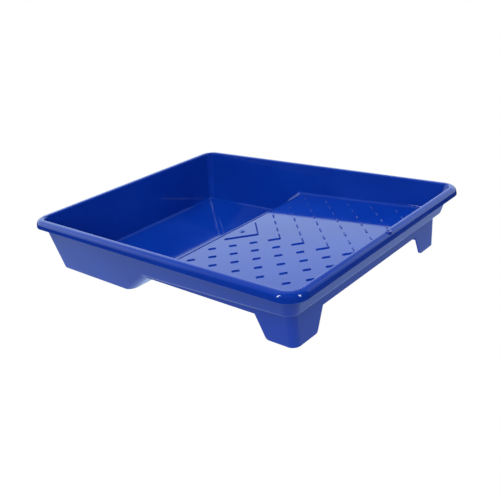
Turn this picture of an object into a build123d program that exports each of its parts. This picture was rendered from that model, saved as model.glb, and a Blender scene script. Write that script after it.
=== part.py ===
from build123d import *
import os
from math import copysign, cos, radians, sin, tan

# Paint roller tray: one thin-walled plastic moulding, cut at its natural edges into named
# regions that meet face to face.  Millimetres, +Z up.  The origin is on the surface that the
# tray stands on, under the middle of its outline.  +X points to the shallow end, -X to the
# deep end with the paint well, +Y to the left side as seen from the deep end.

# Driving dimensions
LENGTH = 385.0            # outside the rim, deep end to shallow end
WIDTH = 298.0             # outside the rim, side to side
HEIGHT = 66.0             # standing surface to the top of the rim
WALL = 2.0                # thickness of every wall
LIP_HEIGHT = 9.0          # height of the turned-down lip
LIP_OVERHANG = 9.0        # lip's outer face to the wall's outer face, at the lip's lower edge
LIP_DRAFT = 9.0           # degrees, the lip opens downwards
LIP_EDGE_ROUND = 0.8      # radius along the lip's lower outer edge
RIM_OUTER_ROUND = 6.0     # radius where the rim's top turns down into the lip
RIM_INNER_ROUND = 2.0     # radius where the rim turns down into the tray
RIM_CORNER_R = 20.0       # corner radius of the rim in plan
WALL_CORNER_R = 12.0      # corner radius of the wall at the lip's lower edge
BASE_CORNER_R = 8.0       # corner radius of the wall at the standing surface
STEP_CORNER_R = 11.0      # corner radius of the well where its walls turn into the slope
FOOT_ROUND = 3.0          # inside radius where a wall meets the floor or the ramp
WELL_FOOT_ROUND = 2.5     # outside radius around the well's underside
SIDE_DRAFT = 12.0         # degrees, long side walls
DEEP_DRAFT = 4.5          # degrees, end wall of the well
SHALLOW_DRAFT = 18.5      # degrees, end wall of the ramp
STEP_ANGLE = 35.5         # degrees, the slope from the well up to the ramp
CREST_X = -14.0           # top of the slope, where the ramp starts
CREST_Z = 30.1            # height of the ramp's surface at the crest
RAMP_ANGLE = 2.0          # degrees, the ramp drains back to the well
SKIRT_BOTTOM_Z = 24.0     # lower edge of the skirt under the ramp
SKIRT_BASE_X = 169.8      # skirt's outer faces, drawn down to the standing surface
SKIRT_BASE_Y = 126.8
SKIRT_DRAFT = 2.0         # degrees
SKIRT_CORNER_R = 8.0
LEG_LENGTH_TOP = 42.5     # each arm of a corner leg, at the skirt's lower edge
LEG_LENGTH_FOOT = 32.5    # and at the standing surface
LEG_FOOT_ROUND = 4.0
RIB_PITCH = 15.9          # step between the ribs of a row, along X and along Y
ROW_PITCH = 2 * RIB_PITCH # apex to apex, along X
ROW_COUNT = 8
RIBS_PER_ARM = 7
FIRST_APEX_X = 23.2
LAST_APEX_X = 155.0       # rows whose apex lies beyond this have side ribs only
RIB_LENGTH = 9.0
RIB_WIDTH = 2.0
RIB_HEIGHT = 1.2
RIB_START = 0.29          # offset of the rib spacing from the apex, in pitches
APEX_ARM = 14.5           # arm length of the short V at each apex
FIRST_APEX_ARM = 39.0     # arm length of the unbroken V nearest the well
RIB_LOW_X = 1.5           # ribs stay between these limits
RIB_HIGH_X = 164.0
GATE_R = 3.0              # injection gate mark at the middle of the outline
GATE_HEIGHT = 0.4

# Low bead along the crest, where the ramp ends above the well
BEAD_LENGTH = 242.0
BEAD_WIDTH = 1.2
BEAD_HEIGHT = 0.6
BEAD_X = CREST_X + 1.0
HANG_HOLE_R = 1.6         # hanging hole in the middle of the shallow rim
BOSS_R = 3.4              # raised boss around the hanging hole
BOSS_LOW_Z = 62.5
BOSS_HIGH_Z = 66.2
BOSS_ROUND = 0.5

# Derived sizes
LIP_LOW_Z = HEIGHT - LIP_HEIGHT
WALL_TOP_X = LENGTH / 2 - LIP_OVERHANG
WALL_TOP_Y = WIDTH / 2 - LIP_OVERHANG
RAMP_SLOPE = tan(radians(RAMP_ANGLE))
FLOOR_END_X = CREST_X - (CREST_Z - WALL) / tan(radians(STEP_ANGLE))
LEG_TOP_X = SKIRT_BASE_X - LEG_LENGTH_TOP
LEG_TOP_Y = SKIRT_BASE_Y - LEG_LENGTH_TOP
HOLE_X = 188.0
FAR = 400.0               # larger than the tray, for cutting bodies

# Plan lines where the moulding is cut into regions, just clear of the foot radii
FLOOR_CUT_X = -173.0
FLOOR_CUT_Y = 122.0
RAMP_CUT_X = 168.0
RAMP_CUT_Y = 128.0
RAIL_CUT = 40.0           # the rim's mitres start this far inside its outline


def ramp_z(x):
    """Height of the ramp's upper surface."""
    return CREST_Z + RAMP_SLOPE * (x - CREST_X)


def wall_limits(z, inset):
    """Deep, shallow and side limits of the drafted wall at height z, moved inwards by inset."""
    drop = LIP_LOW_Z - z
    deep = -WALL_TOP_X + drop * tan(radians(DEEP_DRAFT)) + inset / cos(radians(DEEP_DRAFT))
    shallow = WALL_TOP_X - drop * tan(radians(SHALLOW_DRAFT)) - inset / cos(radians(SHALLOW_DRAFT))
    side = WALL_TOP_Y - drop * tan(radians(SIDE_DRAFT)) - inset / cos(radians(SIDE_DRAFT))
    return deep, shallow, side


def corner_radius(z, inset):
    """Plan radius of the wall's corners at height z."""
    return BASE_CORNER_R + (WALL_CORNER_R - BASE_CORNER_R) * z / LIP_LOW_Z - inset


def tray_loop(z, inset):
    """Outline of the whole wall at height z."""
    deep, shallow, side = wall_limits(z, inset)
    outline = RectangleRounded(shallow - deep, 2 * side, corner_radius(z, inset))
    return Pos((deep + shallow) / 2, 0, z) * outline


def well_loop(z, inset):
    """Outline of the well at height z: its shallow side is the slope up to the ramp."""
    deep, _, side = wall_limits(z, inset)
    slope = FLOOR_END_X + (z - WALL) / tan(radians(STEP_ANGLE))
    slope += (WALL - inset) / sin(radians(STEP_ANGLE))
    face = make_face(Polyline((deep, -side), (slope, -side), (slope, side), (deep, side), close=True))
    deep_corners = face.vertices().sort_by(Axis.X)[:2]
    face = fillet(deep_corners, radius=corner_radius(z, inset))
    slope_corners = face.vertices().group_by(Axis.X)[-1]
    return Pos(0, 0, z) * fillet(slope_corners, radius=STEP_CORNER_R - inset)


def body_between(loop, z_low, z_high, inset):
    """Straight-sided body between an outline at two heights."""
    return loft([loop(z_low, inset), loop(z_high, inset)], ruled=True)


def side_prism(points):
    """Prism through the whole tray, from an outline in the XZ plane."""
    return extrude(Plane.XZ * make_face(Polyline(*points, close=True)), amount=FAR, both=True)


def plan_prism(points, z_low, z_high):
    """Upright prism from an outline in plan."""
    outline = make_face(Polyline(*points, close=True))
    return extrude(Pos(0, 0, z_low) * outline, amount=z_high - z_low)


def above_ramp(depth):
    """Everything above the ramp's plane, taken depth below its surface."""
    low_z = ramp_z(-FAR) - depth / cos(radians(RAMP_ANGLE))
    high_z = ramp_z(FAR) - depth / cos(radians(RAMP_ANGLE))
    return side_prism([(-FAR, low_z), (FAR, high_z), (FAR, FAR), (-FAR, FAR)])


def rounded_foot(body, radius):
    """The body with its lowest face's edges rounded."""
    lowest = body.faces().filter_by(lambda f: f.normal_at().Z < -0.99)
    return fillet(lowest.edges(), radius=radius)


def filled_tray(inset, top_z, ramp_radius, well_radius):
    """Well and ramp tray as one solid block, inset from the outside of the moulding."""
    tray = body_between(tray_loop, 0, top_z, inset) & above_ramp(WALL - inset)
    well = body_between(well_loop, inset, CREST_Z + 3, inset)
    return rounded_foot(tray, ramp_radius) + rounded_foot(well, well_radius)


def outside_of_tray():
    """Well and ramp tray as one solid block, up to the underside of the rim's sheet."""
    return filled_tray(0, HEIGHT - WALL, FOOT_ROUND + WALL, WELL_FOOT_ROUND)


def rim_section(z, inset):
    """Outline of the lip at height z, which leans inwards as it rises."""
    lean = (z - LIP_LOW_Z) * tan(radians(LIP_DRAFT)) + inset
    return Pos(0, 0, z) * RectangleRounded(LENGTH - 2 * lean, WIDTH - 2 * lean, RIM_CORNER_R - lean)


def rim_block():
    """Solid block inside the rim's outer face, with its rounded top edge."""
    block = body_between(rim_section, LIP_LOW_Z, HEIGHT, 0)
    block = fillet(block.faces().sort_by(Axis.Z)[0].edges(), radius=LIP_EDGE_ROUND)
    return fillet(block.faces().sort_by(Axis.Z)[-1].edges(), radius=RIM_OUTER_ROUND)


def lip_channel():
    """Solid block inside the rim's sheet, open downwards."""
    block = body_between(rim_section, LIP_LOW_Z, HEIGHT - WALL, WALL)
    return fillet(block.faces().sort_by(Axis.Z)[-1].edges(), radius=RIM_OUTER_ROUND - WALL)


def hole_boss():
    """Raised boss on the shallow rim, before its hole is cut."""
    boss = extrude(Pos(HOLE_X, 0, BOSS_LOW_Z) * Circle(BOSS_R), amount=BOSS_HIGH_Z - BOSS_LOW_Z)
    return fillet(boss.edges().sort_by(Axis.Z)[-1], radius=BOSS_ROUND)


def shell():
    """The whole moulding without skirt, legs and ribs."""
    inside = filled_tray(WALL, HEIGHT + 10, FOOT_ROUND, FOOT_ROUND)
    body = outside_of_tray() + (rim_block() - lip_channel()) - inside
    mouth = body.faces().sort_by(Axis.Z)[-1].inner_wires()[0]
    body = fillet(mouth.edges(), radius=RIM_INNER_ROUND)
    hole = extrude(Pos(HOLE_X, 0, BOSS_LOW_Z) * Circle(HANG_HOLE_R), amount=LIP_HEIGHT)
    return body + hole_boss() - hole


def skirt_loop(z, inset):
    """Outline of the skirt at height z, closed across the well."""
    grow = z * tan(radians(SKIRT_DRAFT)) - inset
    x_high = SKIRT_BASE_X + grow
    outline = RectangleRounded(x_high - FLOOR_CUT_X / 2, 2 * (SKIRT_BASE_Y + grow), SKIRT_CORNER_R - inset)
    return Pos((x_high + FLOOR_CUT_X / 2) / 2, 0, z) * outline


def skirt_ring():
    """Skirt wall from the standing surface up to the underside of the ramp."""
    top_z = ramp_z(LENGTH / 2)
    ring = body_between(skirt_loop, 0, top_z, 0) - body_between(skirt_loop, 0, top_z, WALL)
    return ring - outside_of_tray()


def leg_outline(start):
    """Side outline of a leg: its slanted edge, its rounded foot and everything outwards."""
    foot = start + LEG_LENGTH_TOP - LEG_LENGTH_FOOT
    outline = make_face(Polyline((start, SKIRT_BOTTOM_Z), (foot, 0), (FAR, 0), (FAR, FAR), (start, FAR),
                                 close=True))
    corner = outline.vertices().sort_by_distance((foot, 0, 0))[0]
    return fillet(corner, radius=LEG_FOOT_ROUND)


def skirt_and_legs():
    """Skirt and corner legs as named regions."""
    ring = skirt_ring()
    along_x = extrude(Plane.XZ * leg_outline(LEG_TOP_X), amount=FAR, both=True)
    along_y = extrude(Plane.YZ * leg_outline(LEG_TOP_Y), amount=FAR)
    leg = ring & along_x & along_y
    side = ring & plan_prism([(FLOOR_CUT_X, 0), (LEG_TOP_X, 0), (LEG_TOP_X, FAR), (FLOOR_CUT_X, FAR)],
                             SKIRT_BOTTOM_Z, FAR)
    end = ring & plan_prism([(LEG_TOP_X, -LEG_TOP_Y), (FAR, -LEG_TOP_Y), (FAR, LEG_TOP_Y),
                             (LEG_TOP_X, LEG_TOP_Y)], SKIRT_BOTTOM_Z, FAR)
    return {"skirt_left": side, "skirt_right": mirror(side, Plane.XZ), "skirt_shallow": end,
            "leg_left": leg, "leg_right": mirror(leg, Plane.XZ)}


def spread(x, y):
    """A point well outside the tray, on the 45 degree line through (x, y)."""
    return x + copysign(FAR, x), y + copysign(FAR, y)


def end_prism(x, y, z_low, z_high):
    """Region of one end, between two mitres that start at (x, -y) and (x, y)."""
    return plan_prism([(x, -y), (x, y), spread(x, y), spread(x, -y)], z_low, z_high)


def half_side_prism(x, y, z_low, z_high):
    """Region of one side, from the crest's line to a mitre that starts at (x, y)."""
    outside_y = y + copysign(FAR, y)
    return plan_prism([(CREST_X, y), (x, y), spread(x, y), (CREST_X, outside_y)], z_low, z_high)


def plate_prism(x_low, x_high, y):
    """Region of the floor, the slope or the ramp."""
    return plan_prism([(x_low, -y), (x_high, -y), (x_high, y), (x_low, y)], -1, LIP_LOW_Z)


def region_prisms():
    """Upright prisms that cut the shell into its named regions, leaving nothing over."""
    rail_x = LENGTH / 2 - RAIL_CUT
    rail_y = WIDTH / 2 - RAIL_CUT
    prisms = {
        "rim_rail_deep": end_prism(-rail_x, rail_y, LIP_LOW_Z, FAR),
        "rim_rail_shallow": end_prism(rail_x, rail_y, LIP_LOW_Z, FAR),
        "end_wall_deep": end_prism(FLOOR_CUT_X, FLOOR_CUT_Y, -1, LIP_LOW_Z),
        "end_wall_shallow": end_prism(RAMP_CUT_X, RAMP_CUT_Y, -1, LIP_LOW_Z),
        "well_floor": plate_prism(FLOOR_CUT_X, FLOOR_END_X, FLOOR_CUT_Y),
        "step_slope": plate_prism(FLOOR_END_X, CREST_X, FLOOR_CUT_Y),
        "ramp_panel": plate_prism(CREST_X, RAMP_CUT_X, RAMP_CUT_Y),
    }
    for side, sign in (("left", 1), ("right", -1)):
        prisms[f"rim_rail_{side}"] = (half_side_prism(-rail_x, sign * rail_y, LIP_LOW_Z, FAR)
                                      + half_side_prism(rail_x, sign * rail_y, LIP_LOW_Z, FAR))
        prisms[f"well_wall_{side}"] = half_side_prism(FLOOR_CUT_X, sign * FLOOR_CUT_Y, -1, LIP_LOW_Z)
        prisms[f"ramp_wall_{side}"] = half_side_prism(RAMP_CUT_X, sign * RAMP_CUT_Y, -1, LIP_LOW_Z)
    return prisms


def on_ramp(x, y, turn):
    """Place on the ramp's surface, turned about its normal."""
    return Pos(x, y, ramp_z(x)) * Rot(0, -RAMP_ANGLE, 0) * Rot(0, 0, turn)


def rib(x, y, side, length):
    """One drain rib, lying along the arm on one side of its chevron."""
    return on_ramp(x, y, -side * 45) * extrude(SlotOverall(length, RIB_WIDTH), amount=RIB_HEIGHT)


def chevron_row(number):
    """One chevron: the V at its apex, and a row of ribs running back from it on each side."""
    apex_x = FIRST_APEX_X + number * ROW_PITCH
    first = number == 0
    arm = FIRST_APEX_ARM if first else APEX_ARM
    ribs = []
    if apex_x < LAST_APEX_X:
        middle = (arm - RIB_WIDTH) / 2 * cos(radians(45))
        ribs.append(rib(apex_x - middle, middle, 1, arm) + rib(apex_x - middle, -middle, -1, arm))
    for step in range(1, RIBS_PER_ARM + 1):
        back = (step + RIB_START) * RIB_PITCH
        x = apex_x - back
        if not first and RIB_LOW_X < x < RIB_HIGH_X:
            ribs += [rib(x, side * back, side, RIB_LENGTH) for side in (1, -1)]
    return Compound(children=ribs)


def build_nodes():
    """Every region of the tray by its name."""
    body = shell()
    nodes = {name: body & prism for name, prism in region_prisms().items()}
    gate = extrude(Circle(GATE_R), amount=GATE_HEIGHT)
    bead = extrude(SlotOverall(BEAD_LENGTH, BEAD_WIDTH), amount=BEAD_HEIGHT)
    nodes["ramp_panel"] += on_ramp(0, 0, 0) * gate
    nodes["ramp_panel"] += on_ramp(BEAD_X, 0, 90) * bead
    nodes.update(skirt_and_legs())
    for number in range(ROW_COUNT):
        nodes[f"chevron_row_{number + 1}"] = chevron_row(number)
    return nodes


os.makedirs("parts", exist_ok=True)
for node_name, node_shape in build_nodes().items():
    export_step(node_shape, f"parts/{node_name}.step")
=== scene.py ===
from math import cos, pi, radians, sin, sqrt, tan

import bmesh
import bpy
from mathutils import Matrix, Vector


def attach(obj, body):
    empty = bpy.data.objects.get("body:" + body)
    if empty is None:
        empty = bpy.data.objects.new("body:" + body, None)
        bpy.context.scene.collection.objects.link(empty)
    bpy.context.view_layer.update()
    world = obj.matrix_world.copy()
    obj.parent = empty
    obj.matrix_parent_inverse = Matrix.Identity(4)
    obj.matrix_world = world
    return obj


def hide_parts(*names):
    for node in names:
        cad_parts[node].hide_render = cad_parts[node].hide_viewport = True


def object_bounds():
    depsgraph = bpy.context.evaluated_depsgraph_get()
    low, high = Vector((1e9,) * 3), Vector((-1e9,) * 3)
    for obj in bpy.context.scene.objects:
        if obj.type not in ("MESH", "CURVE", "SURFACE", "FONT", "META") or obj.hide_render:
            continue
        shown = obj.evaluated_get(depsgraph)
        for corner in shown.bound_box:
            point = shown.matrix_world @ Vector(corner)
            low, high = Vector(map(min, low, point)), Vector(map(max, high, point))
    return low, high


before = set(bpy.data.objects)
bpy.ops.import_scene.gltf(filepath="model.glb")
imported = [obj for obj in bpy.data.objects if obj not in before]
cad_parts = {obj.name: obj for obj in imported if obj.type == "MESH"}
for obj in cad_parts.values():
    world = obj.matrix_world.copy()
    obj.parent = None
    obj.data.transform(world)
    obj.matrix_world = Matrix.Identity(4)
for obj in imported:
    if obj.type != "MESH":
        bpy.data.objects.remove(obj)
cad_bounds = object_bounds()

# Camera: its place in metres, its angles (azimuth 0 looks along +Y), lens and sensor in millimetres
CAMERA_PLACE = Vector((0.48285, -0.49261, 0.30815))
CAMERA_AZIMUTH = radians(43.93)
CAMERA_ELEVATION = radians(23.6)
CAMERA_ROLL = radians(-6.89)
CAMERA_LENS = 47.31
CAMERA_SENSOR = 36
CAMERA_NEAR = 0.01                # nearest distance seen, in metres

# Plastic, with linear colours
BLUE = (0.0022, 0.034, 0.33)
BLUE_DEEP = (0.0018, 0.030, 0.305)
BLUE_PALE = (0.0028, 0.039, 0.355)
CLOUDS = ((0.3, BLUE_DEEP), (0.5, BLUE), (0.7, BLUE_PALE))    # noise value, and the colour there
REFLECTION_TINT = (0.86, 0.93, 1.0, 1)
PLASTIC_IOR = 1.5
ROUGHNESS_RANGE = (0.045, 0.085)
NOISE_MIDDLE = (0.3, 0.7)         # the part of a noise's range that the roughness follows

# The plastic's noises: scale per metre, detail and, where it isn't 0.5, roughness
CLOUD_NOISE = (14, 3)
GLOSS_NOISE = (55, 4, 0.6)
RIPPLE_NOISE = (22, 1)
PORE_NOISE = (1500, 2)

# Its bumps: strength, and distance in metres
RIPPLE_BUMP = (0.25, 0.0002)
PORE_BUMP = (0.1, 0.00002)

# Studio, with linear colours
ROOM_WHITE = (1.25, 1.5, 1.7, 1)
ROOM_CEILING = (0.4, 0.48, 0.55, 1)
ROOM_DARK = (0.05, 0.06, 0.08, 1)
BACKDROP_EDGE = (-0.25, 0.06)     # from backdrop to dark room, as a cosine to the camera's side
CEILING_EDGE = (0.5, 0.68)        # from backdrop to ceiling, as a sine of the elevation
FLOOR_BOUNCE = (0.5, 0.66, 0.95, 1)
BOUNCE_REACH = (0.04, 0.16)       # metres outside the tray's box over which the bounce fades
BOUNCE_FAR = 0.12                 # what is left of it further out
FLOOR_SIZE = 8
FLOOR_Z = -0.0005

# Soft boxes: azimuth from +X, elevation, size in metres, power, and True if they give only glints
WINDOW_DISTANCE = 2.4
WINDOW_TARGET = Vector((0, 0, 0.03))
WINDOWS = {
    "window_left": (radians(-112), radians(31), (0.28, 1.2), 17, True),
    "window_right": (radians(-6), radians(31), (0.28, 1.2), 17, True),
    "fill": (radians(-63), radians(37), (2.2, 2.2), 44, False),
    "top": (radians(135), radians(84), (2.2, 2.2), 34, False),
}

# Drain ribs on the ramp, as in the CAD
MM = 0.001
CREST_X = -14 * MM
CREST_Z = 30.1 * MM
RAMP_ANGLE = radians(2.0)
RIB_PITCH = 15.9 * MM
ROW_PITCH = 2 * RIB_PITCH
ROW_COUNT = 8
RIBS_PER_ARM = 7          # short ribs on each side of a whole row
FIRST_APEX_X = 23.2 * MM
LAST_APEX_X = 155 * MM    # a row whose point lies past this has no V
RIB_LENGTH = 9 * MM
RIB_WIDTH = 2 * MM
RIB_HEIGHT = 1.2 * MM
RIB_START = 0.29          # pitches by which the short ribs sit further back from the point
APEX_ARM = 14.5 * MM
FIRST_APEX_ARM = 39 * MM
RIB_LOW_X = 1.5 * MM      # short ribs lie between these two
RIB_HIGH_X = 164 * MM
RIB_SINK = 0.15 * MM      # how far a rib's foot goes into the ramp
FLANK_POWER = 1.6         # with the next, nearly straight flanks up to a narrow rounded crown
CROWN_POWER = 1.3
RIB_RINGS = 10
RIB_END_STEPS = 12

# Gate mark on the ramp: its half section as (radius, height), on the CAD's 0.4 mm disc
GATE_SECTION = tuple((r * MM, z * MM) for r, z in (
    (3.3, -0.1), (3.3, 0.2), (3.2, 0.4), (3.0, 0.55), (2.75, 0.6), (2.5, 0.55), (2.3, 0.45),
    (1.2, 0.42), (1.05, 0.5), (1.0, 0.7), (0.85, 0.85), (0.5, 0.9)))
GATE_STEPS = 48


def make_camera():
    """The camera at the photograph's viewing angle."""
    az, el, roll = CAMERA_AZIMUTH, CAMERA_ELEVATION, CAMERA_ROLL
    back = Vector((sin(az) * cos(el), -cos(az) * cos(el), sin(el)))
    right = (-back).cross(Vector((0, 0, 1))).normalized()
    up = right.cross(-back)
    right, up = cos(roll) * right + sin(roll) * up, cos(roll) * up - sin(roll) * right
    data = bpy.data.cameras.new("camera")
    data.sensor_width = CAMERA_SENSOR
    data.lens = CAMERA_LENS
    data.clip_start = CAMERA_NEAR
    camera = bpy.data.objects.new("camera", data)
    camera.matrix_world = Matrix.Translation(CAMERA_PLACE) @ Matrix((right, up, back)).transposed().to_4x4()
    bpy.context.scene.collection.objects.link(camera)
    bpy.context.scene.camera = camera


class Nodes:
    """Short way to add and link shader nodes in one tree."""

    def __init__(self, tree):
        self.tree = tree

    def add(self, kind, **settings):
        """A new node of this kind, with its properties set."""
        node = self.tree.nodes.new("ShaderNode" + kind)
        for key, value in settings.items():
            setattr(node, key, value)
        return node

    def link(self, start, end):
        """A link from an output to an input."""
        self.tree.links.new(start, end)

    def noise(self, coords, scale, detail, roughness=0.5):
        """Value of a noise texture."""
        node = self.add("TexNoise")
        node.inputs["Scale"].default_value = scale
        node.inputs["Detail"].default_value = detail
        node.inputs["Roughness"].default_value = roughness
        self.link(coords, node.inputs["Vector"])
        return node.outputs["Fac"]

    def spread(self, value, low, high, to_low, to_high):
        """The value, taken from the range low to high to another range and held within it."""
        node = self.add("MapRange")
        limits = {"From Min": low, "From Max": high, "To Min": to_low, "To Max": to_high}
        for name, number in limits.items():
            node.inputs[name].default_value = number
        self.link(value, node.inputs["Value"])
        return node.outputs["Result"]

    def bump(self, height, strength, distance):
        """A bump node that follows the height."""
        node = self.add("Bump")
        node.inputs["Strength"].default_value = strength
        node.inputs["Distance"].default_value = distance
        self.link(height, node.inputs["Height"])
        return node

    def blend(self, factor, start, end):
        """Mix of two colours, each given as a plain colour or as another node's output."""
        node = self.add("Mix", data_type="RGBA")
        self.link(factor, node.inputs["Factor"])
        for name, colour in (("A", start), ("B", end)):
            if isinstance(colour, tuple):
                node.inputs[name].default_value = colour
            else:
                self.link(colour, node.inputs[name])
        return node.outputs["Result"]

    def choose(self, factor, start, end):
        """Mix of two shader nodes."""
        node = self.add("MixShader")
        self.link(factor, node.inputs[0])
        self.link(start.outputs[0], node.inputs[1])
        self.link(end.outputs[0], node.inputs[2])
        return node


def plastic():
    """Glossy polypropylene: faint colour clouds, uneven gloss, moulding ripple and fine pores."""
    mat = bpy.data.materials.new("blue_plastic")
    mat.use_nodes = True
    n = Nodes(mat.node_tree)
    bsdf = mat.node_tree.nodes["Principled BSDF"]
    coords = n.add("TexCoord").outputs["Object"]

    colours = n.add("ValToRGB")
    elements = colours.color_ramp.elements
    elements.remove(elements[1])
    for number, (position, colour) in enumerate(CLOUDS):
        element = elements.new(position) if number else elements[0]
        element.position = position
        element.color = (*colour, 1)
    n.link(n.noise(coords, *CLOUD_NOISE), colours.inputs["Fac"])
    n.link(colours.outputs["Color"], bsdf.inputs["Base Color"])

    gloss = n.spread(n.noise(coords, *GLOSS_NOISE), *NOISE_MIDDLE, *ROUGHNESS_RANGE)
    n.link(gloss, bsdf.inputs["Roughness"])

    ripple = n.bump(n.noise(coords, *RIPPLE_NOISE), *RIPPLE_BUMP)
    pores = n.bump(n.noise(coords, *PORE_NOISE), *PORE_BUMP)
    n.link(ripple.outputs["Normal"], pores.inputs["Normal"])
    n.link(pores.outputs["Normal"], bsdf.inputs["Normal"])

    bsdf.inputs["IOR"].default_value = PLASTIC_IOR
    bsdf.inputs["Specular Tint"].default_value = REFLECTION_TINT
    return mat


def new_piece(name, bm, mat):
    """A smooth piece of the tray from a bmesh."""
    mesh = bpy.data.meshes.new(name)
    bm.to_mesh(mesh)
    bm.free()
    mesh.materials.append(mat)
    for face in mesh.polygons:
        face.use_smooth = True
    piece = bpy.data.objects.new(name, mesh)
    bpy.context.scene.collection.objects.link(piece)
    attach(piece, "root")
    return piece


def ramp_place(x, y, turn):
    """Matrix of a place on the ramp's surface, turned about its normal."""
    z = CREST_Z + tan(RAMP_ANGLE) * (x - CREST_X)
    tilt = Matrix.Rotation(-RAMP_ANGLE, 4, "Y")
    return Matrix.Translation((x, y, z)) @ tilt @ Matrix.Rotation(turn, 4, "Z")


def rib_profile():
    """Half section of a rib from its foot to its crown, as (distance from its middle line, height)."""
    half = RIB_WIDTH / 2
    points = [(half, -RIB_SINK)]
    for step in range(RIB_RINGS):
        angle = pi / 2 * step / RIB_RINGS
        points.append((half * cos(angle) ** FLANK_POWER, RIB_HEIGHT * sin(angle) ** CROWN_POWER))
    return points


def corner_arc(index, start, sweep):
    """Outline points round one crown point, as (its index, angle, factor on the ring's radius)."""
    return [(index, start + sweep * step / RIB_END_STEPS, 1) for step in range(RIB_END_STEPS + 1)]


def straight_outline(length):
    """Crown points of a straight rib along X, and the outline round them."""
    reach = length / 2 - RIB_WIDTH / 2
    crown = [Vector((reach, 0)), Vector((-reach, 0))]
    return crown, corner_arc(0, -pi / 2, pi) + corner_arc(1, pi / 2, pi)


def apex_outline(arm):
    """The same for the V at a chevron's point, which lies at the origin and points along +X."""
    reach = (arm - RIB_WIDTH) * cos(pi / 4)
    crown = [Vector((0, 0)), Vector((-reach, reach)), Vector((-reach, -reach))]
    around = corner_arc(0, -pi / 4, pi / 2) + corner_arc(1, pi / 4, pi)
    around.append((0, pi, sqrt(2)))
    return crown, around + corner_arc(2, pi * 3 / 4, pi)


def close_ring(bm, low, high):
    """Faces between two rings that have the same number of vertices."""
    for i, start in enumerate(low):
        j = (i + 1) % len(low)
        bm.faces.new((start, low[j], high[j], high[i]))


def add_rib(bm, place, crown, around):
    """A closed rib with rounded ends and a rounded crown."""
    rings = []
    for radius, height in rib_profile():
        ring = []
        for index, angle, factor in around:
            spot = crown[index] + radius * factor * Vector((cos(angle), sin(angle)))
            ring.append(bm.verts.new(place @ Vector((spot.x, spot.y, height))))
        rings.append(ring)
    for low, high in zip(rings, rings[1:]):
        close_ring(bm, low, high)
    tops = [bm.verts.new(place @ Vector((spot.x, spot.y, RIB_HEIGHT))) for spot in crown]
    last = rings[-1]
    for i, (index, _, _) in enumerate(around):
        j = (i + 1) % len(around)
        top = tops[index]
        next_top = tops[around[j][0]]
        side = (last[i], last[j])
        bm.faces.new((*side, top) if top == next_top else (*side, next_top, top))
    bm.faces.new(list(reversed(rings[0])))


def chevron_row(number, mat):
    """One chevron of ribs, as in the CAD, with rounded crowns."""
    apex_x = FIRST_APEX_X + number * ROW_PITCH
    first = number == 0
    bm = bmesh.new()
    if apex_x < LAST_APEX_X:
        add_rib(bm, ramp_place(apex_x, 0, 0), *apex_outline(FIRST_APEX_ARM if first else APEX_ARM))
    for step in range(1, RIBS_PER_ARM + 1):
        back = (step + RIB_START) * RIB_PITCH
        x = apex_x - back
        if not first and RIB_LOW_X < x < RIB_HIGH_X:
            for side in (1, -1):
                add_rib(bm, ramp_place(x, side * back, -side * pi / 4), *straight_outline(RIB_LENGTH))
    row = new_piece(f"drain_ribs_{number + 1}", bm, mat)
    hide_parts(f"chevron_row_{number + 1}")


def gate_mark(mat):
    """The rounded ring and the cut nub that the mould's gate leaves in the middle of the ramp."""
    bm = bmesh.new()
    place = ramp_place(0, 0, 0)
    turns = [2 * pi * step / GATE_STEPS for step in range(GATE_STEPS)]
    rings = []
    for radius, height in GATE_SECTION:
        spots = [Vector((radius * cos(turn), radius * sin(turn), height)) for turn in turns]
        rings.append([bm.verts.new(place @ spot) for spot in spots])
    for low, high in zip(rings, rings[1:]):
        close_ring(bm, low, high)
    bm.faces.new(rings[-1])
    bm.faces.new(list(reversed(rings[0])))
    new_piece("gate_mark", bm, mat)


def window(name, azimuth, elevation, size, power, glints):
    """A soft box that gives only glints or only soft light."""
    data = bpy.data.lights.new(name, "AREA")
    data.shape = "RECTANGLE"
    data.size, data.size_y = size
    data.energy = power
    light = bpy.data.objects.new(name, data)
    level = cos(elevation)
    light.location = WINDOW_DISTANCE * Vector((cos(azimuth) * level, sin(azimuth) * level, sin(elevation)))
    light.rotation_euler = (WINDOW_TARGET - light.location).to_track_quat("-Z", "Y").to_euler()
    light.visible_diffuse = not glints
    light.visible_glossy = glints
    bpy.context.scene.collection.objects.link(light)


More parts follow.
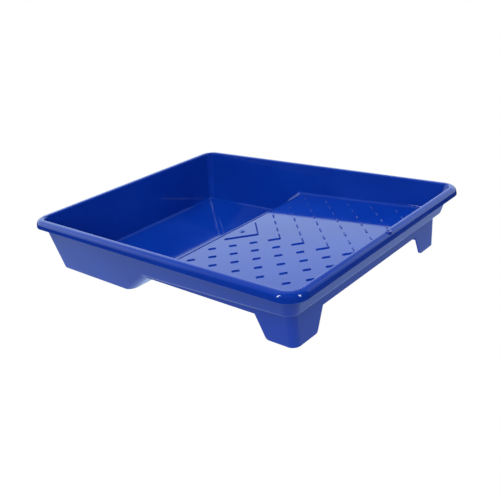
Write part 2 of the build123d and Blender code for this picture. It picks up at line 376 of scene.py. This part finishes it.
def surround():
    """White backdrop behind the tray, darker ceiling, dark room in front. Camera rays see plain white."""
    world = bpy.data.worlds.new("studio")
    bpy.context.scene.world = world
    world.use_nodes = True
    n = Nodes(world.node_tree)
    world.node_tree.nodes.clear()
    coords = n.add("TexCoord").outputs["Generated"]
    toward = n.add("VectorMath", operation="DOT_PRODUCT")
    n.link(coords, toward.inputs[0])
    toward.inputs[1].default_value = (sin(CAMERA_AZIMUTH), -cos(CAMERA_AZIMUTH), 0)
    height = n.add("SeparateXYZ")
    n.link(coords, height.inputs[0])

    front = n.spread(toward.outputs["Value"], *BACKDROP_EDGE, 0.0, 1.0)
    above = n.spread(height.outputs["Z"], *CEILING_EDGE, 0.0, 1.0)
    backdrop = n.blend(above, ROOM_WHITE, ROOM_CEILING)
    room = n.add("Background")
    n.link(n.blend(front, backdrop, ROOM_DARK), room.inputs["Color"])
    plain = n.add("Background")
    plain.inputs["Color"].default_value = (1, 1, 1, 1)
    shader = n.choose(n.add("LightPath").outputs["Is Camera Ray"], room, plain)
    n.link(shader.outputs[0], n.add("OutputWorld").inputs["Surface"])


def floor_material():
    """Plain white to camera rays and clear from below. Its bounce fades away from the tray."""
    mat = bpy.data.materials.new("floor")
    mat.use_nodes = True
    n = Nodes(mat.node_tree)
    mat.node_tree.nodes.clear()
    geometry = n.add("NewGeometry")
    place = n.add("VectorMath", operation="ABSOLUTE")
    n.link(geometry.outputs["Position"], place.inputs[0])
    outside = n.add("VectorMath", operation="SUBTRACT")
    n.link(place.outputs[0], outside.inputs[0])
    outside.inputs[1].default_value = cad_bounds[1]
    split = n.add("SeparateXYZ")
    n.link(outside.outputs[0], split.inputs[0])
    away = n.add("Math", operation="MAXIMUM")
    n.link(split.outputs["X"], away.inputs[0])
    n.link(split.outputs["Y"], away.inputs[1])

    bounce = n.add("Emission")
    bounce.inputs["Color"].default_value = FLOOR_BOUNCE
    n.link(n.spread(away.outputs[0], *BOUNCE_REACH, 1.0, BOUNCE_FAR), bounce.inputs["Strength"])
    lit = n.choose(n.add("LightPath").outputs["Is Camera Ray"], bounce, n.add("Emission"))
    one_sided = n.choose(geometry.outputs["Backfacing"], lit, n.add("BsdfTransparent"))
    n.link(one_sided.outputs[0], n.add("OutputMaterial").inputs["Surface"])
    return mat


def studio():
    """The surround, the floor and the soft boxes."""
    surround()
    bpy.ops.mesh.primitive_plane_add(size=FLOOR_SIZE, location=(0, 0, FLOOR_Z))
    floor = bpy.context.object
    floor.name = "floor"
    floor.data.materials.append(floor_material())
    for name, settings in WINDOWS.items():
        window(name, *settings)


make_camera()
studio()
blue = plastic()
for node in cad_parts.values():
    node.data.materials.clear()
    node.data.materials.append(blue)
for row_number in range(ROW_COUNT):
    chevron_row(row_number, blue)
gate_mark(blue)
bpy.context.scene.view_settings.view_transform = "Standard"
